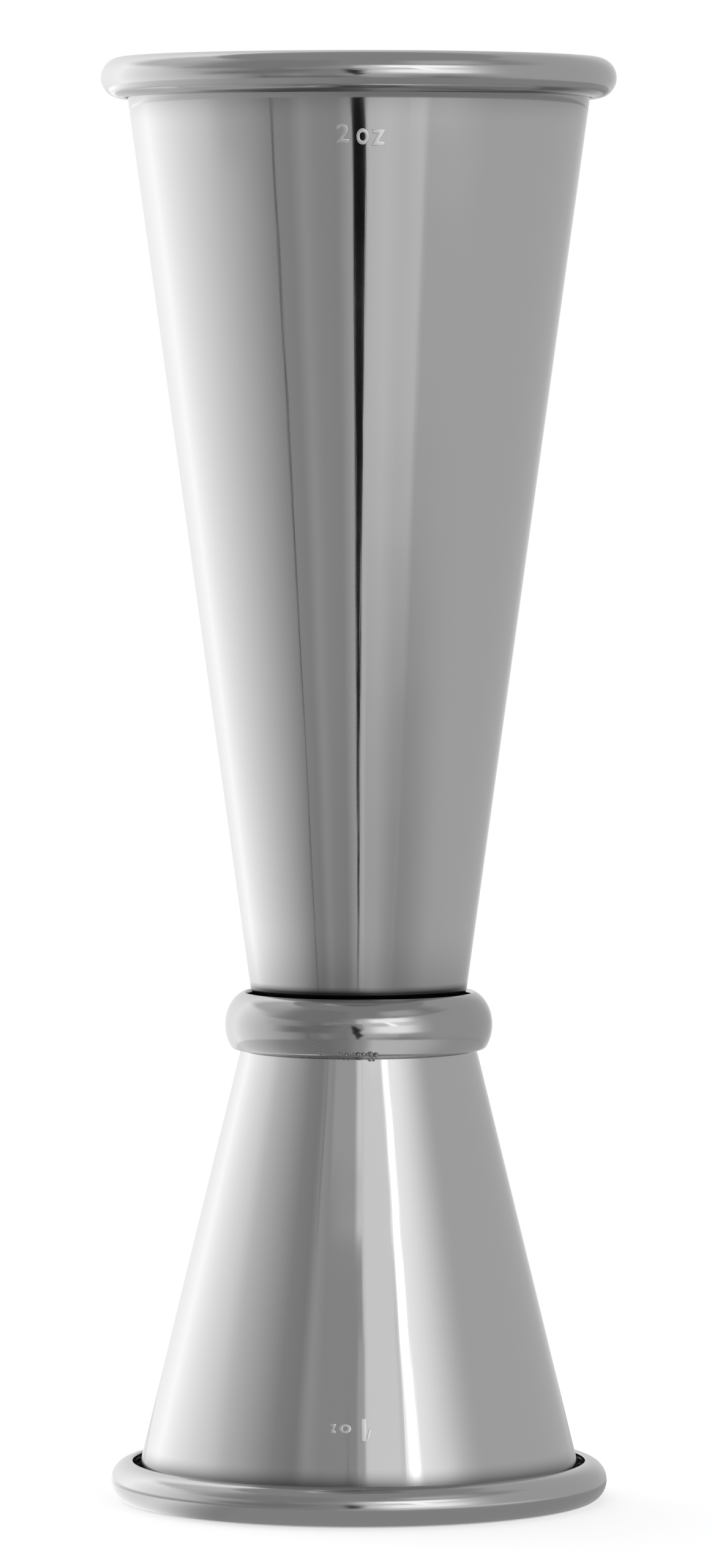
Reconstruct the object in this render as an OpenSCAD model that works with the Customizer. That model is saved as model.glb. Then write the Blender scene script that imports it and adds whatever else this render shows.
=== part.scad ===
// Double-ended cocktail jigger: a tall 2 oz cone standing on a short, upside-down 1 oz cone.
// Each cup is one piece of sheet steel with a closed base and a rim rolled outwards.
// The bases are soldered back to back, and a half-round ring covers their joint.
// The origin is the middle of the circle that the jigger stands on. Lengths are in millimetres.

/* [Large cup] */
// Height of the large cup, from the outside of its base to the crest of its rim
large_h = 83.6; // [60:0.5:110]
// Outer radius at which the straight wall would meet the plane of the rim's crest
large_mouth_r = 20.95; // [16:0.05:26]
// Open slit between the rolled edge and the wall
large_slit = 0.3; // [0.2:0.05:1]

/* [Small cup] */
// Height of the small cup, from the outside of its base to the crest of its rim
small_h = 44.4; // [30:0.1:70]
// Outer radius at which the straight wall would meet the plane of the rim's crest
small_mouth_r = 20.3; // [16:0.05:26]
// Open slit between the rolled edge and the wall
small_slit = 0.7; // [0.2:0.05:1]

/* [Both cups] */
// Outer radius at which each straight wall would meet the plane of its base
waist_r = 9.45; // [8.5:0.05:12]
// Thickness of the sheet
sheet_t = 0.6; // [0.4:0.05:0.7]
// Radius of the corner between base and wall, on the outside
base_corner_r = 1.4; // [1:0.1:3.5]
// Radius of the turn from the wall over to the crest of the rim, on the drinking side
lip_r = 0.77; // [0.75:0.01:1.1]
// Radius of the rolled rim past its crest, on its outer face
roll_r = 1.8; // [1.4:0.05:2.4]
// Depth that polishing takes off the crest, which leaves a narrow flat ring to stand on
crest_flat = 0.02; // [0.01:0.005:0.05]

/* [Waist ring] */
// Radial gap between the ring's bore and the line of the walls at the waist
ring_gap = 0.6; // [0.3:0.05:1.2]
// How far the ring's crown stands out from its bore
ring_crown = 1.82; // [1.2:0.01:2.6]
// Half height of the oval that the ring's outer face follows
ring_oval_h = 3.1; // [2.4:0.05:4]
// Half width of that oval
ring_oval_w = 2.37; // [1.9:0.01:3]
// Distance of the ring's middle below the joint of the two bases
ring_drop = 2; // [1.5:0.05:2.6]

/* [Solder] */
// Thickness of the solder between the two bases
base_solder_t = 0.1; // [0.05:0.01:0.3]
// Width of bare base left around that solder
base_solder_margin = 0.6; // [0.2:0.1:3]
// Thickness of the solder between the ring and the small cup
seat_solder_t = 0.08; // [0.04:0.01:0.2]
// Length of the solder's fillet on the small cup's wall, below the ring
fillet_h = 0.2; // [0.1:0.01:0.6]

/* [Hidden] */
$fn = 96;
// Angle between neighbouring points of an arc, in degrees
arc_step = 7.5;
// Length by which a cut runs past what it cuts
overrun = 1;
steel = [0.79, 0.79, 0.79];
ring_steel = [0.7, 0.7, 0.7];
solder = [0.55, 0.55, 0.56];

// The large cup stands on the small one with the solder between the bases
large_z = small_h + base_solder_t;
ring_z = small_h - ring_drop;
ring_bore_r = waist_r + ring_gap;
ring_oval_r = ring_bore_r + ring_crown - ring_oval_w;

// Slope and lean of a wall, from its height and mouth
function wall_slope(h, mouth_r) = (mouth_r - waist_r) / h;
function wall_lean(h, mouth_r) = atan(wall_slope(h, mouth_r));

// Points of an arc round c, from angle a to angle b
function arc(c, r, a, b) =
    let (steps = ceil(abs(b - a) / arc_step))
    [for (i = [0:steps]) let (t = a + (b - a) * i / steps) c + r * [cos(t), sin(t)]];
function reversed(points) = [for (i = [len(points) - 1:-1:0]) points[i]];
// The same points without the first, for an arc that starts where another ends
function onward(points) = [for (i = [1:len(points) - 1]) points[i]];

// Radius of the circle on which the base's corner starts, so also of the flat of the base
function base_flat_r(h, mouth_r) =
    waist_r + base_corner_r * (wall_slope(h, mouth_r) - 1 / cos(wall_lean(h, mouth_r)));

// Radius of the crest circle, which carries the centres of the lip's turn and of the roll
function crest_r(h, mouth_r) =
    mouth_r - wall_slope(h, mouth_r) * (lip_r - crest_flat)
    + (lip_r - sheet_t) / cos(wall_lean(h, mouth_r));

// Section of a cup with its base on z = 0: the outer face going up, then the inner face back down
function cup_section(h, mouth_r, slit) =
    let (lean = wall_lean(h, mouth_r))
    let (corner_c = [base_flat_r(h, mouth_r), base_corner_r])
    let (top = h + crest_flat)
    let (lip_c = [crest_r(h, mouth_r), top - lip_r])
    let (roll_c = [crest_r(h, mouth_r), top - roll_r])
    let (reach = roll_c[0] - waist_r - wall_slope(h, mouth_r) * roll_c[1] - slit)
    let (roll_end = -90 - lean - asin(reach * cos(lean) / roll_r))
    concat(
        [[0, 0]],
        arc(corner_c, base_corner_r, -90, -lean),
        arc(lip_c, lip_r - sheet_t, 180 - lean, 90),
        onward(arc(roll_c, roll_r - sheet_t, 90, roll_end)),
        reversed(onward(arc(roll_c, roll_r, 90, roll_end))),
        reversed(arc(lip_c, lip_r, 180 - lean, 90)),
        reversed(arc(corner_c, base_corner_r - sheet_t, -90, -lean)),
        [[0, sheet_t]]
    );

// A cup with its base down and its crest polished flat
module cup(h, mouth_r, slit) {
    difference() {
        rotate_extrude() polygon(cup_section(h, mouth_r, slit));
        translate([0, 0, h]) cylinder(r = mouth_r + 2 * roll_r, h = overrun);
    }
}

module large_cup() {
    color(steel) translate([0, 0, large_z]) cup(large_h, large_mouth_r, large_slit);
}

module small_cup() {
    color(steel) translate([0, 0, small_h]) mirror([0, 0, 1]) cup(small_h, small_mouth_r, small_slit);
}

// Outer radius of the small cup's straight wall at height z
function small_wall_r(z) = small_mouth_r - wall_slope(small_h, small_mouth_r) * z;

// Half-round ring: an oval outer face, a plain bore and a seat that follows the small cup's wall
module ring_body() {
    ring_h = 2 * ring_oval_h;
    ring_bottom = ring_z - ring_oval_h;
    oval = [
        for (p = arc([0, 0], 1, -90, 90))
            [ring_oval_r + ring_oval_w * p[0], ring_z + ring_oval_h * p[1]]
    ];
    difference() {
        rotate_extrude() polygon(oval);
        translate([0, 0, ring_bottom - overrun]) cylinder(r = ring_bore_r, h = ring_h + 2 * overrun);
        translate([0, 0, ring_bottom]) cylinder(
            r1 = small_wall_r(ring_bottom) + seat_solder_t,
            r2 = small_wall_r(ring_bottom + ring_h) + seat_solder_t,
            h = ring_h
        );
    }
}

module waist_ring() {
    color(ring_steel) ring_body();
}

// Disc of solder between the two bases
module base_solder() {
    flat_r = min(base_flat_r(small_h, small_mouth_r), base_flat_r(large_h, large_mouth_r));
    color(solder) translate([0, 0, small_h]) cylinder(r = flat_r - base_solder_margin, h = base_solder_t);
}

// Solder that ran into the ring's seat and stands as a fillet under its lower edge
module ring_solder() {
    slope = wall_slope(small_h, small_mouth_r);
    seat_top = (small_mouth_r + seat_solder_t - ring_bore_r) / slope;
    oval_share = (small_wall_r(ring_z - ring_oval_h) - ring_oval_r) / ring_oval_w;
    edge_z = ring_z - ring_oval_h * sqrt(1 - oval_share ^ 2);
    low_z = edge_z - fillet_h;
    fillet_top = edge_z + fillet_h;
    color(solder) difference() {
        rotate_extrude() polygon([
            [small_wall_r(low_z), low_z],
            [small_wall_r(fillet_top) + fillet_h, fillet_top],
            [ring_bore_r + fillet_h, seat_top],
            [small_wall_r(seat_top), seat_top]
        ]);
        ring_body();
    }
}

large_cup();
small_cup();
waist_ring();
base_solder();
ring_solder();
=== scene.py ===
import math
import random
import bmesh
import bpy
from mathutils import Matrix, Vector, noise


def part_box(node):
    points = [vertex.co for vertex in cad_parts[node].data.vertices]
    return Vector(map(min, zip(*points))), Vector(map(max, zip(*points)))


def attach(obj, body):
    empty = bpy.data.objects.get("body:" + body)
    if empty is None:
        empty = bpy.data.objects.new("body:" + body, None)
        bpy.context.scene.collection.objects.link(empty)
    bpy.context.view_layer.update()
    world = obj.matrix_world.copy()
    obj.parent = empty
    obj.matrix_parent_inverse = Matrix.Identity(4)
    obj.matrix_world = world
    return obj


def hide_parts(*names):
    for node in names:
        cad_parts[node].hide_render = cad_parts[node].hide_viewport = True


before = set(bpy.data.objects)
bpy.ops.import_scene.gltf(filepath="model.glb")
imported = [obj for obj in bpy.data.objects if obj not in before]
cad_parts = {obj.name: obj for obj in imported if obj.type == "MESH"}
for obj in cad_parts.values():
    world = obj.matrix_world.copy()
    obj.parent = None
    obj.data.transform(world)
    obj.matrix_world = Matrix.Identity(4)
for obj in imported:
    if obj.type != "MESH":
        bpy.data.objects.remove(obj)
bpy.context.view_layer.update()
mm = 0.001

# Drawing a section: a pen moves in the XZ plane and leaves a wire of points behind it

mergeDistance = 0.0001 * mm


def unitVector(degrees):
    # positive degrees turn from +X towards +Z
    return Vector((math.cos(math.radians(degrees)), 0, math.sin(math.radians(degrees))))


def penDown(bm, x, z):
    return bmesh.ops.create_vert(bm, co=(x, 0, z))["vert"][0]


def penLine(bm, pen, x, z, hold=0):
    # hold adds a point near each end, so that smooth shading bends only there
    start = pen.co.copy()
    path = Vector((x, 0, z)) - start
    share = hold / path.length
    for along in ([share, 1 - share, 1] if hold else [1]):
        pen = bmesh.ops.extrude_vert_indiv(bm, verts=[pen])["verts"][0]
        pen.co = start + path * along
    return pen


def penArc(bm, pen, centre, degrees, segments):
    # the sign of the degrees is as in unitVector
    start = pen.co.copy()
    for i in range(segments):
        pen = bmesh.ops.extrude_vert_indiv(bm, verts=[pen])["verts"][0]
        pen.co = start
        turn = Matrix.Rotation(-math.radians(degrees) * (i + 1) / segments, 3, "Y")
        bmesh.ops.rotate(bm, verts=[pen], cent=centre, matrix=turn)
    return pen


def turnOnLathe(bm, steps):
    # a full spin of the wire round Z; merging the doubles closes the poles
    bmesh.ops.spin(
        bm, geom=bm.verts[:] + bm.edges[:], cent=(0, 0, 0), axis=(0, 0, 1),
        angle=2 * math.pi, steps=steps, use_merge=True, use_duplicate=False,
    )
    bmesh.ops.remove_doubles(bm, verts=bm.verts[:], dist=mergeDistance)
    bmesh.ops.recalc_face_normals(bm, faces=bm.faces[:])


def roundAxis(angle, radius, z):
    # the place at an angle in radians, counted from the front towards the right
    return Vector((radius * math.sin(angle), -radius * math.cos(angle), z))


def finishPiece(bm, name, materials):
    for face in bm.faces:
        face.smooth = True
    mesh = bpy.data.meshes.new(name)
    bm.to_mesh(mesh)
    bm.free()
    for material in materials:
        mesh.materials.append(material)
    piece = bpy.data.objects.new(name, mesh)
    bpy.context.scene.collection.objects.link(piece)
    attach(piece, "root")
    print("made", name, "with", len(mesh.polygons), "faces")
    return piece


# Small helpers for materials

noiseRange = (0.3, 0.7)  # where most of a noise lies
# a Mix node's sockets share their names, so they go by number
mixColours = (6, 7)
mixedColour = 2
mixFloats = (2, 3)


def hexColour(code):
    # sRGB hex to linear
    channels = [int(code[i:i + 2], 16) / 255 for i in (1, 3, 5)]
    linear = [c / 12.92 if c <= 0.04045 else ((c + 0.055) / 1.055) ** 2.4 for c in channels]
    return (*linear, 1)


def addNode(tree, kind, settings=None, inputs=None):
    node = tree.nodes.new(kind)
    for name, value in (settings or {}).items():
        setattr(node, name, value)
    for key, value in (inputs or {}).items():
        if isinstance(value, bpy.types.NodeSocket):
            tree.links.new(value, node.inputs[key])
        else:
            node.inputs[key].default_value = value
    return node


def newMaterial(name):
    material = bpy.data.materials.new(name)
    material.use_nodes = True
    material.node_tree.nodes.clear()
    return material, material.node_tree


def distanceFromAxis(tree, place):
    flat = addNode(tree, "ShaderNodeVectorMath", {"operation": "MULTIPLY"}, {0: place, 1: (1, 1, 0)})
    distance = addNode(tree, "ShaderNodeVectorMath", {"operation": "LENGTH"}, {0: flat.outputs[0]})
    return distance.outputs["Value"]


# The two cups: one section for both, of one sheet from the closed base to the raw edge of the curl

cupSheet = {
    "thickness": 0.6 * mm,
    "waistRadius": 9.45 * mm,  # where the straight wall would meet the base
    "cornerRadius": 1.4 * mm,
    "lipRadius": 0.77 * mm,  # turn of the wall over to the crest
    "rollRadius": 1.8 * mm,  # the curl past the crest
    "crestFlat": 0.02 * mm,  # polished off the crest
    "edgeRadius": 0.15 * mm,  # rounding of the sheet's raw edge
    "hold": 0.3 * mm,
    "wallTolerance": 0.06 * mm,  # what stands farther out from the line of the wall is the curl
    "turns": 256,
    # steps along the arcs of the section, in the order that they are drawn
    "steps": {
        "corner": 14, "lipBack": 6, "curlBack": 28, "edge": 4, "curl": 48, "lip": 14, "cornerTop": 12,
    },
}
largeCup = {"node": "large_cup", "upright": True, "mouthRadius": 20.95 * mm, "slit": 0.3 * mm}
smallCup = {"node": "small_cup", "upright": False, "mouthRadius": 20.3 * mm, "slit": 0.7 * mm}
cupBoxes = {cup["node"]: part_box(cup["node"]) for cup in (largeCup, smallCup)}

polishedSteel = {
    "colour": "#C4C4C4",
    "roughness": 0.06,
    "roughnessShares": (0.8, 1.25),  # from the clearest smudge to the dullest
    "meanRadius": 15 * mm,  # of the walls, for the streaks
    # polishing lines that run up and down the wall, finer on the real one and drawn so that they show
    "streakWidth": 0.12 * mm,
    "streakLength": 9 * mm,
    "streakDepth": 0.08,
    "streakBump": 0.01 * mm,
    "smudgeSize": 7 * mm,
    "waveSize": 11 * mm,  # the spun sheet is never quite true
    "waveDepth": 0.04,
    "waveBump": 1 * mm,
    # painted shade: the wall is darkened towards this colour beside the curls, above the ring and in the
    # slit above the joint
    "paintedShadeColour": "#222221",
    "largeCurlShade": {"reach": 2.6 * mm, "share": 0.3},  # painted shade beside the curl; the steel that the wheel can't reach there is also rougher
    "smallCurlShade": {"reach": 1.4 * mm, "share": 0.65},
    "waistShade": {"reach": 7 * mm, "share": 0.42},  # painted shade above the ring
    "slitShade": {"reach": 1 * mm, "share": 0.95},
    "slitTop": 1.3 * mm,  # above the joint, where the ring's upper edge hides the wall
    "paintedShadeFalloff": 1.6,
    "roughnessWithShade": 0.12,  # added where the painted shade is full
}


def paintedShadeShare(tree, height, edge, direction, paintedShade):
    # painted shade, strongest at the edge, gone after the reach
    near = addNode(
        tree, "ShaderNodeMapRange", None,
        {"Value": height, "From Min": edge + direction * paintedShade["reach"], "From Max": edge},
    )
    curve = addNode(
        tree, "ShaderNodeMath", {"operation": "POWER"},
        {0: near.outputs["Result"], 1: polishedSteel["paintedShadeFalloff"]},
    )
    share = addNode(
        tree, "ShaderNodeMath", {"operation": "MULTIPLY"}, {0: curve.outputs[0], 1: paintedShade["share"]}
    )
    return share.outputs[0]


def paintedCurlAndRingShade(tree, height):
    # painted shade beside both curls and, on the large cup alone, above the ring
    s = polishedSteel
    joint, crest = [corner.z for corner in cupBoxes["large_cup"]]
    curlHeight = 2 * cupSheet["rollRadius"] - cupSheet["crestFlat"]
    upperCurl = paintedShadeShare(tree, height, crest - curlHeight, -1, s["largeCurlShade"])
    lowerCurl = paintedShadeShare(tree, height, curlHeight, 1, s["smallCurlShade"])
    byCurls = addNode(tree, "ShaderNodeMath", {"operation": "MAXIMUM"}, {0: upperCurl, 1: lowerCurl})
    onWaist = paintedShadeShare(tree, height, joint, 1, s["waistShade"])
    inSlit = paintedShadeShare(tree, height, joint + s["slitTop"], 1, s["slitShade"])
    aboveRing = addNode(tree, "ShaderNodeMath", {"operation": "MAXIMUM"}, {0: onWaist, 1: inSlit})
    isLarge = addNode(tree, "ShaderNodeMath", {"operation": "GREATER_THAN"}, {0: height, 1: joint})
    byRing = addNode(
        tree, "ShaderNodeMath", {"operation": "MULTIPLY"}, {0: aboveRing.outputs[0], 1: isLarge.outputs[0]}
    )
    paintedShade = addNode(
        tree, "ShaderNodeMath", {"operation": "MAXIMUM"}, {0: byCurls.outputs[0], 1: byRing.outputs[0]}
    )
    return paintedShade.outputs[0]


def makePolishedSteel():
    # 18/8 stainless sheet, spun and buffed: a mirror with very fine lines along the wall,
    # with shade painted in darker by the curls and the ring
    material, tree = newMaterial("mirror polished stainless steel")
    s = polishedSteel
    place = addNode(tree, "ShaderNodeTexCoord").outputs["Object"]
    height = addNode(tree, "ShaderNodeSeparateXYZ", None, {0: place}).outputs["Z"]
    paintedShade = paintedCurlAndRingShade(tree, height)
    colour = addNode(
        tree, "ShaderNodeMix", {"data_type": "RGBA"},
        {0: paintedShade, mixColours[0]: hexColour(s["colour"]), mixColours[1]: hexColour(s["paintedShadeColour"])},
    )

    # a direction from the axis, with height squeezed, gives lines that follow the cone
    flat = addNode(tree, "ShaderNodeVectorMath", {"operation": "MULTIPLY"}, {0: place, 1: (1, 1, 0)})
    direction = addNode(tree, "ShaderNodeVectorMath", {"operation": "NORMALIZE"}, {0: flat.outputs[0]})
    squeeze = s["streakWidth"] / s["streakLength"] / s["meanRadius"]
    squeezed = addNode(
        tree, "ShaderNodeVectorMath", {"operation": "MULTIPLY"}, {0: place, 1: (0, 0, squeeze)}
    )
    along = addNode(
        tree, "ShaderNodeVectorMath", {"operation": "ADD"},
        {0: direction.outputs[0], 1: squeezed.outputs[0]},
    )
    streaks = addNode(
        tree, "ShaderNodeTexNoise", None,
        {"Vector": along.outputs[0], "Scale": s["meanRadius"] / s["streakWidth"], "Detail": 3.0},
    )
    waves = addNode(
        tree, "ShaderNodeTexNoise", None, {"Vector": place, "Scale": 1 / s["waveSize"], "Detail": 1.0}
    )
    longBump = addNode(
        tree, "ShaderNodeBump", None,
        {"Height": waves.outputs["Fac"], "Strength": s["waveDepth"], "Distance": s["waveBump"]},
    )
    fineBump = addNode(
        tree, "ShaderNodeBump", None,
        {"Height": streaks.outputs["Fac"], "Strength": s["streakDepth"], "Distance": s["streakBump"],
         "Normal": longBump.outputs["Normal"]},
    )

    smudges = addNode(
        tree, "ShaderNodeTexNoise", None, {"Vector": place, "Scale": 1 / s["smudgeSize"], "Detail": 5.0}
    )
    clearest, dullest = s["roughnessShares"]
    smudged = addNode(
        tree, "ShaderNodeMapRange", None,
        {"Value": smudges.outputs["Fac"], "From Min": noiseRange[0], "From Max": noiseRange[1],
         "To Min": s["roughness"] * clearest, "To Max": s["roughness"] * dullest},
    )
    rough = addNode(
        tree, "ShaderNodeMath", {"operation": "MULTIPLY_ADD"},
        {0: paintedShade, 1: s["roughnessWithShade"], 2: smudged.outputs["Result"]},
    )
    steel = addNode(
        tree, "ShaderNodeBsdfPrincipled", None,
        {"Base Color": colour.outputs[mixedColour], "Metallic": 1.0, "Roughness": rough.outputs[0],
         "Normal": fineBump.outputs["Normal"]},
    )
    addNode(tree, "ShaderNodeOutputMaterial", None, {"Surface": steel.outputs[0]})
    return material


turnedSteel = {
    # painted light: lighter than the outer steel, standing in for light bounced down inside the cup
    "colour": "#D6D6D6",
    "roughness": 0.42,
    "lineWidth": 0.15 * mm,  # rings that the spinning tool left inside
    "lineDepth": 0.25,
    "lineBump": 0.01 * mm,
}


def makeTurnedSteel():
    # the inside of a spun cup: satin, so it gathers light down to its base, with fine rings round the axis;
    # its colour is painted lighter than the outer steel's, standing in for light bounced down into the cup
    material, tree = newMaterial("lightly polished stainless steel")
    s = turnedSteel
    place = addNode(tree, "ShaderNodeTexCoord").outputs["Object"]
    height = addNode(tree, "ShaderNodeSeparateXYZ", None, {0: place}).outputs["Z"]
    section = addNode(
        tree, "ShaderNodeCombineXYZ", None, {"X": distanceFromAxis(tree, place), "Y": height}
    )
    lines = addNode(
        tree, "ShaderNodeTexNoise", {"noise_dimensions": "2D"},
        {"Vector": section.outputs[0], "Scale": 1 / s["lineWidth"], "Detail": 2.0},
    )
    bump = addNode(
        tree, "ShaderNodeBump", None,
        {"Height": lines.outputs["Fac"], "Strength": s["lineDepth"], "Distance": s["lineBump"]},
    )
    steel = addNode(
        tree, "ShaderNodeBsdfPrincipled", None,
        {"Base Color": hexColour(s["colour"]), "Metallic": 1.0, "Roughness": s["roughness"],
         "Normal": bump.outputs["Normal"]},
    )
    addNode(tree, "ShaderNodeOutputMaterial", None, {"Surface": steel.outputs[0]})
    return material


def paintedUndersideShade(tree, height, colour, under):
    # painted shade under the large cup's curl; the lower half keeps its colour
    crest = cupBoxes["large_cup"][1].z
    low = addNode(
        tree, "ShaderNodeMapRange", {"interpolation_type": "SMOOTHSTEP"},
        {"Value": height, "From Min": crest - under["full"], "From Max": crest - under["start"],
         "To Min": under["share"], "To Max": 0.0},
    )
    isUpper = addNode(tree, "ShaderNodeMath", {"operation": "GREATER_THAN"}, {0: height, 1: crest / 2})
    share = addNode(
        tree, "ShaderNodeMath", {"operation": "MULTIPLY"}, {0: low.outputs[0], 1: isUpper.outputs[0]}
    )
    paintedShadeColour = hexColour(polishedSteel["paintedShadeColour"])
    mixed = addNode(
        tree, "ShaderNodeMix", {"data_type": "RGBA"},
        {0: share.outputs[0], mixColours[0]: colour, mixColours[1]: paintedShadeColour},
    )
    return mixed.outputs[mixedColour]


def makeBuffedSteel(name, s):
    # buffed by hand on a soft wheel: a mirror whose reflections are soft and a little uneven
    material, tree = newMaterial(name)
    place = addNode(tree, "ShaderNodeTexCoord").outputs["Object"]
    colour = hexColour(s["colour"])
    # an underside entry paints shade below the crest
    if "underside" in s:
        height = addNode(tree, "ShaderNodeSeparateXYZ", None, {0: place}).outputs["Z"]
        colour = paintedUndersideShade(tree, height, colour, s["underside"])
    blotches = addNode(
        tree, "ShaderNodeTexNoise", None, {"Vector": place, "Scale": 1 / s["blotchSize"], "Detail": 3.0}
    )
    clearest, dullest = s["roughnessShares"]
    rough = addNode(
        tree, "ShaderNodeMapRange", None,
        {"Value": blotches.outputs["Fac"], "From Min": noiseRange[0], "From Max": noiseRange[1],
         "To Min": s["roughness"] * clearest, "To Max": s["roughness"] * dullest},
    )
    bump = addNode(
        tree, "ShaderNodeBump", None,
        {"Height": blotches.outputs["Fac"], "Strength": s["blotchDepth"], "Distance": s["blotchBump"]},
    )
    steel = addNode(
        tree, "ShaderNodeBsdfPrincipled", None,
        {"Base Color": colour, "Metallic": 1.0, "Roughness": rough.outputs["Result"],
         "Normal": bump.outputs["Normal"]},
    )
    addNode(tree, "ShaderNodeOutputMaterial", None, {"Surface": steel.outputs[0]})
    return material


rimSteel = {
    "colour": "#BABABA",
    "roughness": 0.14,
    "roughnessShares": (0.8, 1.3),  # from the clearest blotch to the dullest
    "blotchSize": 3 * mm,
    "blotchDepth": 0.1,
    "blotchBump": 0.1 * mm,
    "underside": {"start": 2.8 * mm, "full": 3.2 * mm, "share": 0.55},  # painted shade below the crest
}

polished = makePolishedSteel()
turned = makeTurnedSteel()
buffedRim = makeBuffedSteel("buffed rim of stainless steel", rimSteel)
print("made the cups' materials")


def wallLine(cup):
    # the cup's height, and the slope and lean of its wall
    low, high = cupBoxes[cup["node"]]
    height = high.z - low.z
    slope = (cup["mouthRadius"] - cupSheet["waistRadius"]) / height
    return {"height": height, "slope": slope, "lean": math.degrees(math.atan(slope))}


def drawCupSection(bm, cup, wall):
    s = cupSheet
    t = s["thickness"]
    steps = s["steps"]
    slope, lean = wall["slope"], wall["lean"]
    cosLean = math.cos(math.radians(lean))
    top = wall["height"] + s["crestFlat"]
    baseFlat = s["waistRadius"] + s["cornerRadius"] * (slope - 1 / cosLean)
    crestRadius = (
        cup["mouthRadius"] - slope * (s["lipRadius"] - s["crestFlat"]) + (s["lipRadius"] - t) / cosLean
    )
    corner = Vector((baseFlat, 0, s["cornerRadius"]))
    lip = Vector((crestRadius, 0, top - s["lipRadius"]))
    roll = Vector((crestRadius, 0, top - s["rollRadius"]))
    reach = crestRadius - s["waistRadius"] - slope * roll.z - cup["slit"]
    rollEnd = -90 - lean - math.degrees(math.asin(reach * cosLean / s["rollRadius"]))

    # outer face: base, corner, wall, lip
    pen = penDown(bm, 0, 0)
    pen = penLine(bm, pen, baseFlat, 0, s["hold"])
    pen = penArc(bm, pen, corner, 90 - lean, steps["corner"])
    wallTop = lip + unitVector(180 - lean) * (s["lipRadius"] - t)
    pen = penLine(bm, pen, wallTop.x, wallTop.z, s["hold"])
    pen = penArc(bm, pen, lip, lean - 90, steps["lipBack"])

    # inside of the curl, round the raw edge, and back over the outside of the curl
    innerBend = s["rollRadius"] - t + s["edgeRadius"]
    outerBend = s["rollRadius"] - s["edgeRadius"]
    innerTurn = math.degrees(math.asin(s["edgeRadius"] / innerBend))
    outerTurn = math.degrees(math.asin(s["edgeRadius"] / outerBend))
    innerRound = roll + unitVector(rollEnd + innerTurn) * innerBend
    outerRound = roll + unitVector(rollEnd + outerTurn) * outerBend
    pen = penArc(bm, pen, roll, rollEnd + innerTurn - 90, steps["curlBack"])
    pen = penArc(bm, pen, innerRound, 90 - innerTurn, steps["edge"])
    edge = roll + unitVector(rollEnd) * outerBend * math.cos(math.radians(outerTurn))
    pen = penLine(bm, pen, edge.x, edge.z)
    pen = penArc(bm, pen, outerRound, 90 + outerTurn, steps["edge"])
    rollFlat = math.degrees(math.acos(1 - s["crestFlat"] / s["rollRadius"]))
    lipFlat = math.degrees(math.acos(1 - s["crestFlat"] / s["lipRadius"]))
    pen = penArc(bm, pen, roll, 90 - rollFlat - rollEnd - outerTurn, steps["curl"])

    # the polished crest, then down the drinking side to the middle of the base
    crest = lip + unitVector(90 + lipFlat) * s["lipRadius"]
    pen = penLine(bm, pen, crest.x, crest.z)
    pen = penArc(bm, pen, lip, 90 - lean - lipFlat, steps["lip"])
    wallFoot = corner + unitVector(-lean) * (s["cornerRadius"] - t)
    pen = penLine(bm, pen, wallFoot.x, wallFoot.z, s["hold"])
    pen = penArc(bm, pen, corner, lean - 90, steps["cornerTop"])
    penLine(bm, pen, 0, t, s["hold"])


def faceZone(face, wall):
    # 0 is the outer wall and base, 1 the inside, 2 the curl, as the materials are listed
    s = cupSheet
    middle = face.calc_center_median()
    wallRadius = s["waistRadius"] + wall["slope"] * middle.z
    fromWall = Vector(middle[:2]).length - wallRadius
    sheetWidth = s["thickness"] / math.cos(math.radians(wall["lean"]))
    if middle.z > wall["height"] - s["lipRadius"] or fromWall > s["wallTolerance"]:
        return 2
    return int(middle.z > s["thickness"] / 2 and fromWall < -sheetWidth / 2)


def makeCup(cup):
    wall = wallLine(cup)
    bm = bmesh.new()
    drawCupSection(bm, cup, wall)
    turnOnLathe(bm, cupSheet["turns"])
    for face in bm.faces:
        face.material_index = faceZone(face, wall)
    if not cup["upright"]:
        bmesh.ops.scale(bm, verts=bm.verts[:], vec=(1, 1, -1))
        bmesh.ops.translate(bm, verts=bm.verts[:], vec=(0, 0, wall["height"]))
        bmesh.ops.recalc_face_normals(bm, faces=bm.faces[:])
    bmesh.ops.translate(bm, verts=bm.verts[:], vec=(0, 0, cupBoxes[cup["node"]][0].z))
    piece = finishPiece(bm, cup["node"] + "_sheet", [polished, turned, buffedRim])
    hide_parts(cup["node"])


makeCup(largeCup)
makeCup(smallCup)

# The volume marks: the real ones are stamped in, and these stand a hair proud, which looks the same

volumeMarks = {
    "proud": 0.04 * mm,
    "edge": 0.03 * mm,  # rounding of a stroke
    "colour": "#DCDCDC",
    "roughness": 0.34,
    "grainSize": 0.08 * mm,
    "grainDepth": 0.3,
    "grainBump": 0.02 * mm,
    # sign, its middle across and up, its width and its height
    "large": (("2", -1.4 * mm, 121.0 * mm, 1.1 * mm, 1.65 * mm),
              ("o", 0.32 * mm, 120.7 * mm, 1.06 * mm, 1.4 * mm),
              ("z", 1.66 * mm, 120.6 * mm, 1.2 * mm, 1.4 * mm)),
    # the 1 is a bar with a flag that was struck apart from it
    "small": (("1", 0.42 * mm, 8.3 * mm, 0.46 * mm, 1.95 * mm),
              ("/", 0.84 * mm, 7.85 * mm, 0.5 * mm, 1.1 * mm),
              ("o", -1.2 * mm, 8.4 * mm, 1.05 * mm, 0.8 * mm),
              ("z", -2.25 * mm, 8.4 * mm, 0.55 * mm, 0.8 * mm)),
}


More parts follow.
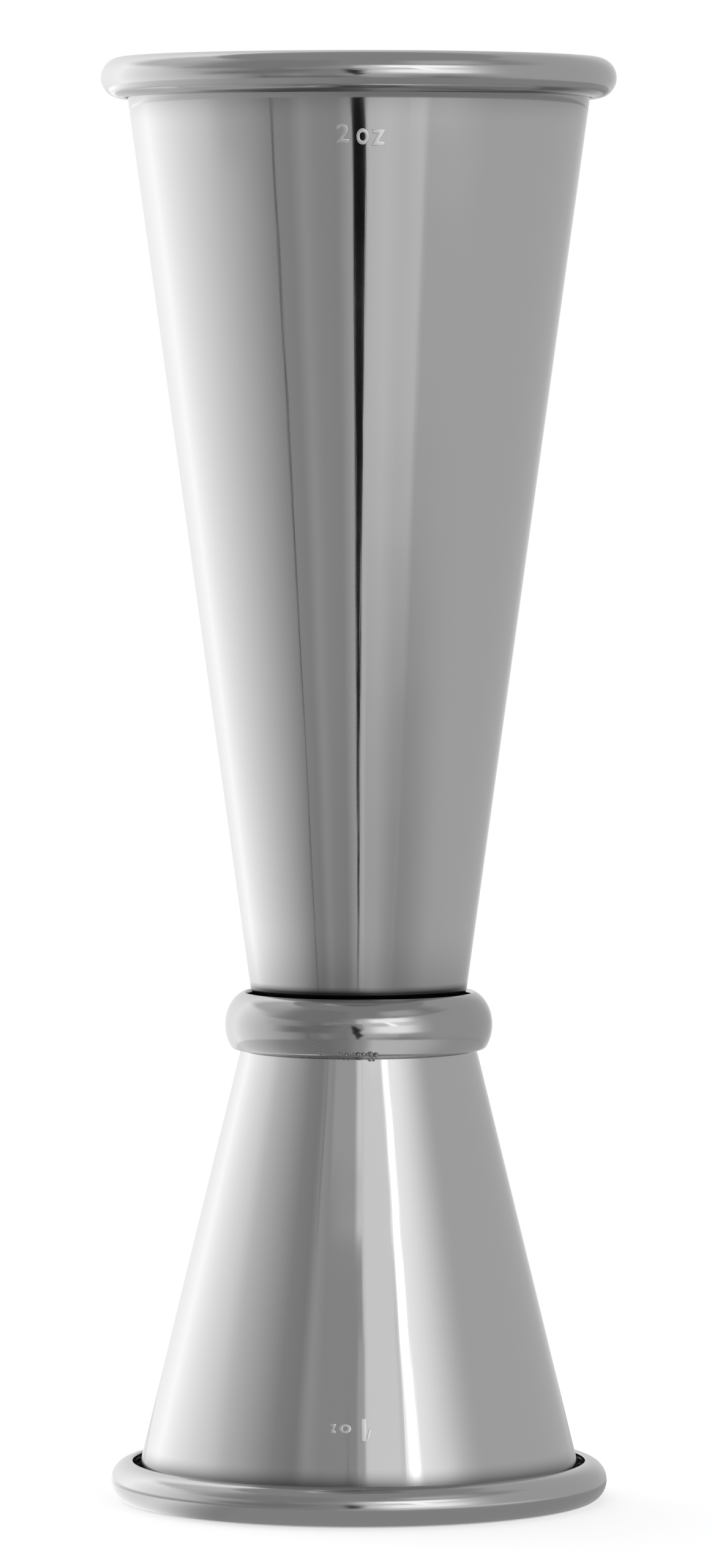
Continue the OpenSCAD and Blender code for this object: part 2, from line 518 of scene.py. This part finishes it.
def makeStampedSteel():
    # strokes left matt by the stamp: they catch light from all sides
    material, tree = newMaterial("stamped stainless steel")
    s = volumeMarks
    place = addNode(tree, "ShaderNodeTexCoord").outputs["Object"]
    grain = addNode(tree, "ShaderNodeTexNoise", None, {"Vector": place, "Scale": 1 / s["grainSize"]})
    bump = addNode(
        tree, "ShaderNodeBump", None,
        {"Height": grain.outputs["Fac"], "Strength": s["grainDepth"], "Distance": s["grainBump"]},
    )
    steel = addNode(
        tree, "ShaderNodeBsdfPrincipled", None,
        {"Base Color": hexColour(s["colour"]), "Metallic": 1.0, "Roughness": s["roughness"],
         "Normal": bump.outputs["Normal"]},
    )
    addNode(tree, "ShaderNodeOutputMaterial", None, {"Surface": steel.outputs[0]})
    return material


def glyphMesh(sign, width, height):
    # one sign from the built-in font, as a mesh that fills its box round the origin
    curve = bpy.data.curves.new("sign", "FONT")
    curve.body = sign
    curve.size = height
    curve.resolution_u = 8
    curve.bevel_depth = volumeMarks["edge"]
    curve.bevel_resolution = 2
    carrier = bpy.data.objects.new("sign", curve)
    bpy.context.scene.collection.objects.link(carrier)
    shape = carrier.evaluated_get(bpy.context.evaluated_depsgraph_get())
    mesh = bpy.data.meshes.new_from_object(shape)
    bpy.data.objects.remove(carrier)
    bpy.data.curves.remove(curve)
    xs = [v.co.x for v in mesh.vertices]
    ys = [v.co.y for v in mesh.vertices]
    left, right = min(xs), max(xs)
    bottom, top = min(ys), max(ys)
    for v in mesh.vertices:
        v.co.x = (v.co.x - (left + right) / 2) * width / (right - left)
        v.co.y = (v.co.y - (bottom + top) / 2) * height / (top - bottom)
    return mesh


def outerWall(cup):
    # a cup's outer radius at z = 0, and how much it grows with height
    low, high = cupBoxes[cup["node"]]
    slope = wallLine(cup)["slope"]
    if cup["upright"]:
        return cupSheet["waistRadius"] - slope * low.z, slope
    return cupSheet["waistRadius"] + slope * high.z, -slope


def makeMark(name, signs, cup):
    s = volumeMarks
    startRadius, growth = outerWall(cup)
    bm = bmesh.new()
    for sign, across, up, width, height in signs:
        mesh = glyphMesh(sign, width, height)
        known = len(bm.verts)
        bm.from_mesh(mesh)
        bpy.data.meshes.remove(mesh)
        bm.verts.ensure_lookup_table()
        for v in bm.verts[known:]:
            # on the small cup the signs stand on their heads
            x, y = (v.co.x, v.co.y) if cup["upright"] else (-v.co.x, -v.co.y)
            z = up + y
            radius = startRadius + growth * z + v.co.z + s["proud"] - s["edge"]
            v.co = roundAxis((across + x) / (startRadius + growth * up), radius, z)
    bmesh.ops.remove_doubles(bm, verts=bm.verts[:], dist=mergeDistance)
    bmesh.ops.recalc_face_normals(bm, faces=bm.faces[:])
    finishPiece(bm, name, [stamped])


stamped = makeStampedSteel()
makeMark("two_ounce_mark", volumeMarks["large"], largeCup)
makeMark("one_ounce_mark", volumeMarks["small"], smallCup)

# The waist ring: an oval outer face, a plain bore, and a seat that follows the small cup's wall

waistRing = {
    "gap": 0.6 * mm,  # from its bore to the line of the walls at the waist
    "crown": 1.82 * mm,
    "ovalHeight": 3.1 * mm,
    "ovalWidth": 2.37 * mm,
    "drop": 2 * mm,  # its middle lies this far below the joint of the bases
    "seatSolder": 0.08 * mm,
    "upperEdge": 0.3 * mm,  # rounding between the outer face and the bore
    "lowerEdge": 0.5 * mm,  # and between the outer face and the seat
    "hold": 0.05 * mm,
    "turns": 256,
    "steps": {"face": 56, "upperEdge": 10, "lowerEdge": 8},  # along the arcs of the section
    "footRange": (-89, 0),  # where on the oval the lower edge is sought, in degrees
    "halvings": 40,  # of that range
}
ringSteel = {
    "colour": "#AEAEAE",
    "roughness": 0.11,
    "roughnessShares": (0.8, 1.3),  # from the clearest blotch to the dullest
    "blotchSize": 2.5 * mm,
    "blotchDepth": 0.12,
    "blotchBump": 0.1 * mm,
}
buffedRing = makeBuffedSteel("buffed half-round wire of stainless steel", ringSteel)


def ringPlace():
    s = waistRing
    bore = cupSheet["waistRadius"] + s["gap"]
    seatRadius = smallCup["mouthRadius"] + s["seatSolder"]
    return {
        "middle": cupBoxes["small_cup"][1].z - s["drop"],
        "bore": bore,
        "ovalCentre": bore + s["crown"] - s["ovalWidth"],
        "seatRadius": seatRadius,  # where the line of the seat meets z = 0
        "seatTop": (seatRadius - bore) / wallLine(smallCup)["slope"],
    }


def ringFoot(place):
    # the lower edge's rounding touches both the oval and the seat: halve the range of its place on the oval
    s = waistRing
    seatNormal = unitVector(wallLine(smallCup)["lean"])
    low, high = s["footRange"]
    for halving in range(s["halvings"]):
        guess = (low + high) / 2
        across = math.cos(math.radians(guess))
        up = math.sin(math.radians(guess))
        onOval = Vector((
            place["ovalCentre"] + s["ovalWidth"] * across, 0, place["middle"] + s["ovalHeight"] * up
        ))
        outward = Vector((across / s["ovalWidth"], 0, up / s["ovalHeight"])).normalized()
        centre = onOval - outward * s["lowerEdge"]
        fromSeat = (centre - Vector((place["seatRadius"], 0, 0))).dot(seatNormal)
        if fromSeat > s["lowerEdge"]:
            high = guess
        else:
            low = guess
    onSeat = centre - seatNormal * s["lowerEdge"]
    turn = math.degrees((-seatNormal).angle(outward))
    return {"angle": high, "centre": centre, "onSeat": onSeat, "turn": turn}


def makeWaistRing():
    s = waistRing
    steps = s["steps"]
    place = ringPlace()
    foot = ringFoot(place)
    bm = bmesh.new()
    # the outer face and its upper edge are arcs of circles, squeezed to the oval
    squeeze = s["ovalWidth"] / s["ovalHeight"]
    bend = s["ovalHeight"] - s["upperEdge"]
    endCosine = ((place["bore"] - place["ovalCentre"]) / squeeze + s["upperEdge"]) / bend
    endAngle = math.degrees(math.acos(endCosine))
    start = unitVector(foot["angle"]) * s["ovalHeight"]
    first = penDown(bm, start.x, start.z)
    pen = penArc(bm, first, (0, 0, 0), endAngle - foot["angle"], steps["face"])
    pen = penArc(bm, pen, unitVector(endAngle) * bend, 180 - endAngle, steps["upperEdge"])
    bmesh.ops.scale(bm, verts=bm.verts[:], vec=(squeeze, 1, 1))
    bmesh.ops.translate(bm, verts=bm.verts[:], vec=(place["ovalCentre"], 0, place["middle"]))
    pen = penLine(bm, pen, place["bore"], place["seatTop"], s["hold"])
    pen = penLine(bm, pen, foot["onSeat"].x, foot["onSeat"].z, s["hold"])
    pen = penArc(bm, pen, foot["centre"], foot["turn"], steps["lowerEdge"])
    bmesh.ops.pointmerge(bm, verts=[pen, first], merge_co=first.co)
    turnOnLathe(bm, s["turns"])
    piece = finishPiece(bm, "half_round_ring", [buffedRing])
    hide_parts("waist_ring")


makeWaistRing()

# Solder: the film between the bases, and under the ring a fine fillet
# with crumbs where it ran over in front

ringFillet = {
    "leg": 0.08 * mm,  # below the ring, on the wall
    "edgeSteps": 4,
    "turns": 192,
    "crumbSize": 0.16 * mm,
    "crumbShares": (0.6, 1.4),  # of that size, for the smallest and the largest
    "crumbRise": 0.5,  # most that a crumb sits above or below the seam, as a share of its size
    "crumbLumps": 0.4,
    "crumbLean": -17,  # where a crumb sits on the ring's rounded lower edge, in degrees
    # bearing of a group of crumbs in degrees, its spread, and how many
    "crumbGroups": ((-17, 1.2, 3), (-6, 2.5, 4), (1, 4, 9), (6, 2.5, 5)),
    "specks": ((-17.2, 1.3 * mm), (-16.8, 0.9 * mm)),  # bearing, height above the foot, on the ring's face
    "speckShare": 0.6,  # of a crumb's size
    "seed": 11,
}
tinSolder = {
    "colour": "#9A9A9C",
    "fluxColour": "#4A4846",
    "fluxRange": (0.5, 0.72),  # of the noise: where flux starts and where it covers
    "roughness": 0.38,
    "grainSize": 0.25 * mm,
    "grainDepth": 0.5,
    "grainBump": 0.05 * mm,
}


def makeTinSolder():
    # tin-silver solder, as run: dull, lumpy, with dark traces of flux
    material, tree = newMaterial("run tin-silver solder")
    s = tinSolder
    place = addNode(tree, "ShaderNodeTexCoord").outputs["Object"]
    grain = addNode(
        tree, "ShaderNodeTexNoise", None, {"Vector": place, "Scale": 1 / s["grainSize"], "Detail": 4.0}
    )
    start, full = s["fluxRange"]
    flux = addNode(
        tree, "ShaderNodeMapRange", None,
        {"Value": grain.outputs["Fac"], "From Min": start, "From Max": full},
    )
    colour = addNode(
        tree, "ShaderNodeMix", {"data_type": "RGBA"},
        {0: flux.outputs["Result"], mixColours[0]: hexColour(s["colour"]),
         mixColours[1]: hexColour(s["fluxColour"])},
    )
    bump = addNode(
        tree, "ShaderNodeBump", None,
        {"Height": grain.outputs["Fac"], "Strength": s["grainDepth"], "Distance": s["grainBump"]},
    )
    metal = addNode(
        tree, "ShaderNodeBsdfPrincipled", None,
        {"Base Color": colour.outputs[mixedColour], "Metallic": 1.0, "Roughness": s["roughness"],
         "Normal": bump.outputs["Normal"]},
    )
    addNode(tree, "ShaderNodeOutputMaterial", None, {"Surface": metal.outputs[0]})
    return material


def addCrumb(bm, bearing, radius, z, size):
    # a lumpy bead
    bead = bmesh.ops.create_icosphere(bm, subdivisions=2, radius=size)["verts"]
    for v in bead:
        lump = noise.noise(v.co / size + Vector((bearing, z / size, 0)))
        v.co *= 1 + ringFillet["crumbLumps"] * lump
    bmesh.ops.translate(bm, verts=bead, vec=roundAxis(math.radians(bearing), radius, z))


def addCrumbs(bm, place, foot):
    # groups along the seam, and a few specks on the ring's face
    s = ringFillet
    seam = foot["centre"] + unitVector(s["crumbLean"]) * waistRing["lowerEdge"]
    dice = random.Random(s["seed"])
    for middle, spread, count in s["crumbGroups"]:
        for i in range(count):
            size = s["crumbSize"] * dice.uniform(*s["crumbShares"])
            bearing = middle + dice.uniform(-spread, spread)
            rise = size * dice.uniform(-s["crumbRise"], s["crumbRise"])
            addCrumb(bm, bearing, seam.x, seam.z + rise, size)
    for bearing, above in s["specks"]:
        z = foot["centre"].z - waistRing["lowerEdge"] + above
        heightShare = (z - place["middle"]) / waistRing["ovalHeight"]
        onFace = place["ovalCentre"] + waistRing["ovalWidth"] * math.sqrt(1 - heightShare ** 2)
        addCrumb(bm, bearing, onFace, z, s["crumbSize"] * s["speckShare"])


def makeRingSolder():
    s = ringFillet
    place = ringPlace()
    foot = ringFoot(place)
    wall = wallLine(smallCup)
    lowest = foot["centre"].z - waistRing["lowerEdge"]
    wallFoot = lowest - s["leg"]
    bm = bmesh.new()
    # from the wall to the ring's lowest line, along its edge to the seat, and up the seat
    first = penDown(bm, smallCup["mouthRadius"] - wall["slope"] * wallFoot, wallFoot)
    pen = penLine(bm, first, foot["centre"].x, lowest)
    pen = penArc(bm, pen, foot["centre"], -90 + wall["lean"], s["edgeSteps"])
    pen = penLine(bm, pen, place["bore"], place["seatTop"])
    pen = penLine(bm, pen, place["bore"] - waistRing["seatSolder"], place["seatTop"])
    bm.edges.new((pen, first))
    turnOnLathe(bm, s["turns"])
    addCrumbs(bm, place, foot)
    piece = finishPiece(bm, "solder_fillet", [solder])
    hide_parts("ring_solder")


solder = makeTinSolder()
makeRingSolder()
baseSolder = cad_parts["base_solder"]
baseSolder.data.materials.clear()
baseSolder.data.materials.append(solder)

# Stage: a white floor inside a drum-shaped light tent that the camera doesn't see; lengths are in metres

stage = {
    "floorRadius": 0.13,
    "floorColour": "#F0F0F0",
    "floorGlow": 0.5,  # share of white that the floor keeps in the shadow
    "cardLift": 0.2 * mm,  # of the card that lies on the floor
    "tentRadius": 0.6,
    "tentFoot": -0.45,
    "tentRoof": 1.0,
    "tentCorners": 128,
    "discCorners": 96,
    "roofLevel": 0.42,
    "pitLevel": 0.3,
    "brightest": 1.6,
}
# light round the tent as (bearing, level); bearings are in degrees from the front towards the right
wallCloth = ((-180, 0.8), (-134, 1.6), (-47, 0.4), (-36, 0.36), (-29, 0.46), (-22, 0.4), (-11, 0.38),
             (-5, 0.52), (4, 0.76), (14, 0.82), (23, 0.76), (33, 0.8), (36, 0.6), (150, 0.6), (180, 0.8))
# what hangs before the cloth, the nearest last; each side is where it starts to show and where it
# shows fully, as bearings at the left and right and as heights at the bottom and top
wallPatches = (
    # unlit cloth at the foot, in front and at the right
    {"level": 0, "cover": 0.5, "left": (-70, -40), "right": (176, 140), "top": (-0.08, -0.32)},
    # a grey sheet low at the right, and its shade
    {"level": 0.58, "left": (3, 6), "right": (36, 33), "top": (-0.06, -0.15)},
    {"level": 0, "cover": 0.26, "left": (12, 34), "right": (80, 37), "top": (-0.05, -0.13)},
    # the left cloth is a little dimmer higher up
    {"level": 0, "cover": 0.1, "left": (-95, -80), "right": (-30, -36), "bottom": (0.12, 0.18)},
    # grey front over the camera
    {"level": 0.4, "left": (-24, -20), "right": (4.5, 1), "bottom": (0.1, 0.15)},
    # the window, its bright right half, and the strip of sun in it
    {"level": 1.0, "left": (1, 4.5), "right": (26, 22), "bottom": (-0.03, 0.05), "top": (0.5, 0.38)},
    {"level": 1.4, "left": (25, 26), "right": (72, 28), "bottom": (-0.03, 0.05), "top": (0.5, 0.38)},
    {"level": 2.4, "left": (22.5, 26), "right": (29.8, 28.2), "bottom": (0.15, 0.2), "top": (0.42, 0.36),
     "lean": 75, "pivot": 0.266},
    # glare between and over the two heights that the cones mirror
    {"level": 1.7, "left": (5, 20), "right": (58, 34), "bottom": (-0.02, 0.05), "top": (0.2, 0.175)},
    {"level": 1.9, "left": (4, 16), "right": (56, 34), "bottom": (0.29, 0.305), "top": (0.46, 0.42)},
    # pale boards above and beside the window's left edge
    {"level": 1.0, "left": (-5, 0), "right": (4, 2), "bottom": (0.26, 0.267), "top": (0.5, 0.38)},
    {"level": 0.53, "left": (-24, -22), "right": (-2, -5), "bottom": (0.26, 0.267), "top": (0.5, 0.38)},
    {"level": 0.55, "left": (-1.5, -0.5), "right": (4, 3), "bottom": (0.15, 0.2), "top": (0.248, 0.242)},
    # thin seams of the cloth at the left
    {"level": 0.1, "left": (-45, -44.8), "right": (-44, -44.2), "bottom": (-0.25, -0.2),
     "top": (0.16, 0.15)},
    {"level": 0.25, "left": (-31.5, -31.2), "right": (-30.3, -30.6), "bottom": (0.25, 0.262)},
    # dark cloth at the left, between the heights that the cones mirror
    {"level": 0.3, "left": (-85, -52), "right": (-14, -30), "bottom": (-0.01, 0.03), "top": (0.17, 0.13)},
    {"level": 0.27, "left": (-46, -30), "right": (-12, -24), "bottom": (0.13, 0.17),
     "top": (0.212, 0.195)},
    # duller cloth high up, at the left and in front
    {"level": 0.85, "left": (-150, -124), "right": (-80, -95), "bottom": (0.34, 0.44)},
    {"level": 0.36, "left": (-115, -50), "right": (2, -24), "bottom": (0.288, 0.31)},
    {"level": 0.42, "left": (-14, -8), "right": (110, 80), "bottom": (0.44, 0.5)},
    {"level": 0.7, "left": (15, 35), "right": (80, 50), "bottom": (0.45, 0.6), "top": (1.0, 0.8)},
)
# the floor round the jigger as its mirrors see it: the bottom and top of a patch are distances
# from the axis here
floorCloth = ((-180, 0.6), (-130, 1.25), (-92, 0.78), (-70, 0.48), (-50, 0.36), (-30, 0.33), (-10, 0.4),
              (0, 0.56), (180, 0.6))
floorPatches = (
    # sunlit patch at the right, and the shade near the foot
    {"level": 1.0, "left": (2, 14), "right": (95, 30), "bottom": (0.028, 0.036)},
    {"level": 0.42, "left": (-48, -28), "right": (176, 140), "top": (0.032, 0.027)},
    {"level": 1.2, "left": (-178, -150), "right": (-34, -62), "top": (0.032, 0.027)},
)


def bearingRamp(tree, bearing, stops):
    # the light at a bearing; the stops of the ramp are shares of the brightest level
    share = addNode(tree, "ShaderNodeMapRange", None, {"Value": bearing, "From Min": -180, "From Max": 180})
    node = addNode(tree, "ShaderNodeValToRGB", None, {"Fac": share.outputs["Result"]})
    ramp = node.color_ramp
    ramp.elements.remove(ramp.elements[1])
    for i, (degrees, level) in enumerate(stops):
        place = (degrees + 180) / 360
        stop = ramp.elements.new(place) if i else ramp.elements[0]
        stop.position = place
        stop.color = (*[level / stage["brightest"]] * 3, 1)
    light = addNode(
        tree, "ShaderNodeMath", {"operation": "MULTIPLY"}, {0: node.outputs["Color"], 1: stage["brightest"]}
    )
    return light.outputs[0]


def hangPatch(tree, light, bearing, height, patch):
    # lays the patch over the light: soft sides, and an optional lean in degrees per metre
    if "lean" in patch:
        fromPivot = addNode(
            tree, "ShaderNodeMath", {"operation": "SUBTRACT"}, {0: height, 1: patch["pivot"]}
        )
        leaning = addNode(
            tree, "ShaderNodeMath", {"operation": "MULTIPLY_ADD"},
            {0: fromPivot.outputs[0], 1: patch["lean"], 2: bearing},
        )
        bearing = leaning.outputs[0]
    share = patch.get("cover", 1)
    for side in ("left", "right", "bottom", "top"):
        if side not in patch:
            continue
        place = bearing if side in ("left", "right") else height
        start, full = patch[side]
        edge = addNode(
            tree, "ShaderNodeMapRange", {"interpolation_type": "SMOOTHSTEP"},
            {"Value": place, "From Min": min(start, full), "From Max": max(start, full),
             "To Min": float(start > full), "To Max": float(full > start)},
        )
        product = addNode(tree, "ShaderNodeMath", {"operation": "MULTIPLY"}, {0: edge.outputs[0], 1: share})
        share = product.outputs[0]
    laid = addNode(
        tree, "ShaderNodeMix", {"data_type": "FLOAT"},
        {0: share, mixFloats[0]: light, mixFloats[1]: float(patch["level"])},
    )
    return laid.outputs[0]


def makeLitCloth(name, stops, patches, byDistance):
    # with byDistance, the bottom and top of a patch are distances from the axis
    material, tree = newMaterial(name)
    place = addNode(tree, "ShaderNodeTexCoord").outputs["Object"]
    apart = addNode(tree, "ShaderNodeSeparateXYZ", None, {0: place})
    front = addNode(tree, "ShaderNodeMath", {"operation": "MULTIPLY"}, {0: apart.outputs["Y"], 1: -1.0})
    angle = addNode(
        tree, "ShaderNodeMath", {"operation": "ARCTAN2"}, {0: apart.outputs["X"], 1: front.outputs[0]}
    )
    bearing = addNode(tree, "ShaderNodeMath", {"operation": "DEGREES"}, {0: angle.outputs[0]}).outputs[0]
    height = distanceFromAxis(tree, place) if byDistance else apart.outputs["Z"]
    light = bearingRamp(tree, bearing, stops)
    for patch in patches:
        light = hangPatch(tree, light, bearing, height, patch)
    cloth = addNode(tree, "ShaderNodeEmission", None, {"Strength": light})
    addNode(tree, "ShaderNodeOutputMaterial", None, {"Surface": cloth.outputs[0]})
    return material


def makePlainCloth(name, level):
    material, tree = newMaterial(name)
    cloth = addNode(tree, "ShaderNodeEmission", None, {"Strength": level})
    addNode(tree, "ShaderNodeOutputMaterial", None, {"Surface": cloth.outputs[0]})
    return material


def finishStage(bm, name, material, seen=False):
    mesh = bpy.data.meshes.new(name)
    bm.to_mesh(mesh)
    bm.free()
    mesh.materials.append(material)
    prop = bpy.data.objects.new(name, mesh)
    bpy.context.scene.collection.objects.link(prop)
    prop.visible_camera = seen
    return prop


def makeDisc(name, radius, z, material, seen=False):
    bm = bmesh.new()
    bmesh.ops.create_circle(bm, cap_ends=True, segments=stage["discCorners"], radius=radius)
    bmesh.ops.translate(bm, verts=bm.verts[:], vec=(0, 0, z))
    bmesh.ops.recalc_face_normals(bm, faces=bm.faces[:])
    return finishStage(bm, name, material, seen)


def makeTent():
    s = stage
    height = s["tentRoof"] - s["tentFoot"]
    middle = Matrix.Translation((0, 0, s["tentFoot"] + height / 2))
    bm = bmesh.new()
    bmesh.ops.create_cone(
        bm, cap_ends=False, segments=s["tentCorners"], radius1=s["tentRadius"], radius2=s["tentRadius"],
        depth=height, matrix=middle,
    )
    finishStage(bm, "tent_wall", makeLitCloth("tent cloth", wallCloth, wallPatches, False))
    makeDisc("tent_roof", s["tentRadius"], s["tentRoof"], makePlainCloth("roof cloth", s["roofLevel"]))
    makeDisc("tent_pit", s["tentRadius"], s["tentFoot"], makePlainCloth("pit cloth", s["pitLevel"]))


# the opening that the camera looks through, as (bearing, height): wide and flat at the top,
# narrow in the middle, and pointed below
lensOpening = {
    "outline": ((-0.9, -0.175), (0.2, -0.138), (1.0, -0.1), (2.8, -0.06), (3.8, -0.03), (0.6, 0.02),
                (2.0, 0.11), (5.5, 0.222), (-6.3, 0.222), (-5.2, 0.0), (-3.2, -0.03), (-2.8, -0.06),
                (-2.5, -0.1), (-1.8, -0.138)),
    "beforeCloth": 0.01,
    "level": 0.008,
}


def makeLensOpening():
    radius = stage["tentRadius"] - lensOpening["beforeCloth"]
    bm = bmesh.new()
    corners = []
    for bearing, height in lensOpening["outline"]:
        place = roundAxis(math.radians(bearing), radius, height)
        corners += bmesh.ops.create_vert(bm, co=place)["vert"]
    bmesh.ops.contextual_create(bm, geom=corners)
    finishStage(bm, "lens_opening", makePlainCloth("unlit room", lensOpening["level"]))


# a shade collar close under the upper rim, which keeps the bright floor out of its underside
shadeCollar = {
    "below": 1 * mm,
    "inner": 22.7 * mm,
    "outer": 25.6 * mm,
    "turns": 96,
    "cloth": ((-180, 0.8), (-90, 1.6), (-60, 0.95), (-30, 0.5), (0, 0.36), (90, 0.42), (180, 0.8)),
}


def makeShadeCollar():
    s = shadeCollar
    bm = bmesh.new()
    z = cupBoxes["large_cup"][1].z - 2 * cupSheet["rollRadius"] - s["below"]
    start = penDown(bm, s["inner"], z)
    penLine(bm, start, s["outer"], z)
    turnOnLathe(bm, s["turns"])
    collar = finishStage(bm, "shade_collar", makeLitCloth("grey collar", s["cloth"], (), False))
    collar.visible_diffuse = False
    collar.visible_shadow = False


def makeFloorCard():
    # seen by the steel alone: it lies a hair over the floor, and neither lights nor shades it
    cloth = makeLitCloth("floor as mirrored", floorCloth, floorPatches, True)
    card = makeDisc("floor_card", stage["floorRadius"], stage["cardLift"], cloth)
    card.visible_diffuse = False
    card.visible_shadow = False


def seenRays(tree):
    # camera, mirror and glass rays
    paths = addNode(tree, "ShaderNodeLightPath")
    mirrorRays = addNode(
        tree, "ShaderNodeMath", {"operation": "ADD"},
        {0: paths.outputs["Is Glossy Ray"], 1: paths.outputs["Is Transmission Ray"]},
    )
    allRays = addNode(
        tree, "ShaderNodeMath", {"operation": "ADD", "use_clamp": True},
        {0: mirrorRays.outputs[0], 1: paths.outputs["Is Camera Ray"]},
    )
    return allRays.outputs[0]


def makeFloor():
    material, tree = newMaterial("white floor")
    strength = addNode(
        tree, "ShaderNodeMath", {"operation": "MULTIPLY"}, {0: seenRays(tree), 1: stage["floorGlow"]}
    )
    paper = addNode(tree, "ShaderNodeBsdfDiffuse", None, {"Color": hexColour(stage["floorColour"])})
    glow = addNode(tree, "ShaderNodeEmission", None, {"Strength": strength.outputs[0]})
    both = addNode(tree, "ShaderNodeAddShader", None, {0: paper.outputs[0], 1: glow.outputs[0]})
    # from below the floor is clear, so that the underside can be seen
    below = addNode(tree, "ShaderNodeNewGeometry").outputs["Backfacing"]
    clear = addNode(tree, "ShaderNodeBsdfTransparent")
    floor = addNode(
        tree, "ShaderNodeMixShader", None, {0: below, 1: both.outputs[0], 2: clear.outputs[0]}
    )
    addNode(tree, "ShaderNodeOutputMaterial", None, {"Surface": floor.outputs[0]})
    makeDisc("floor", stage["floorRadius"], 0, material, seen=True)


def makeWorld():
    # white to camera, mirror and glass rays and dark to the rest, so it lights nothing matt
    world = bpy.data.worlds.new("white room")
    bpy.context.scene.world = world
    world.use_nodes = True
    tree = world.node_tree
    tree.nodes.clear()
    background = addNode(
        tree, "ShaderNodeBackground", None, {"Color": (1, 1, 1, 1), "Strength": seenRays(tree)}
    )
    addNode(tree, "ShaderNodeOutputWorld", None, {"Surface": background.outputs[0]})


makeTent()
makeLensOpening()
makeShadeCollar()
makeFloorCard()
makeFloor()
makeWorld()

camera = {
    "distance": 0.8127,  # from the jigger's axis
    "height": 0.1021,
    "sideways": -0.00025,
    "pitch": 2.7,  # degrees down
    "focalPixels": 14956,  # focal length, in pixels of an image of this height
    "imageHeight": 2560,
    "sensor": 36,  # millimetres, along the height
    "clipStart": 0.01,
    "clipEnd": 10,
}


def makeCamera():
    data = bpy.data.cameras.new("camera")
    data.sensor_width = camera["sensor"]
    data.lens = camera["sensor"] * camera["focalPixels"] / camera["imageHeight"]
    data.clip_start = camera["clipStart"]
    data.clip_end = camera["clipEnd"]
    eye = bpy.data.objects.new("camera", data)
    bpy.context.scene.collection.objects.link(eye)
    eye.location = (camera["sideways"], -camera["distance"], camera["height"])
    eye.rotation_euler = (math.radians(90 - camera["pitch"]), 0, 0)
    bpy.context.scene.camera = eye


makeCamera()
bpy.context.scene.view_settings.view_transform = "Standard"
print("set the stage")
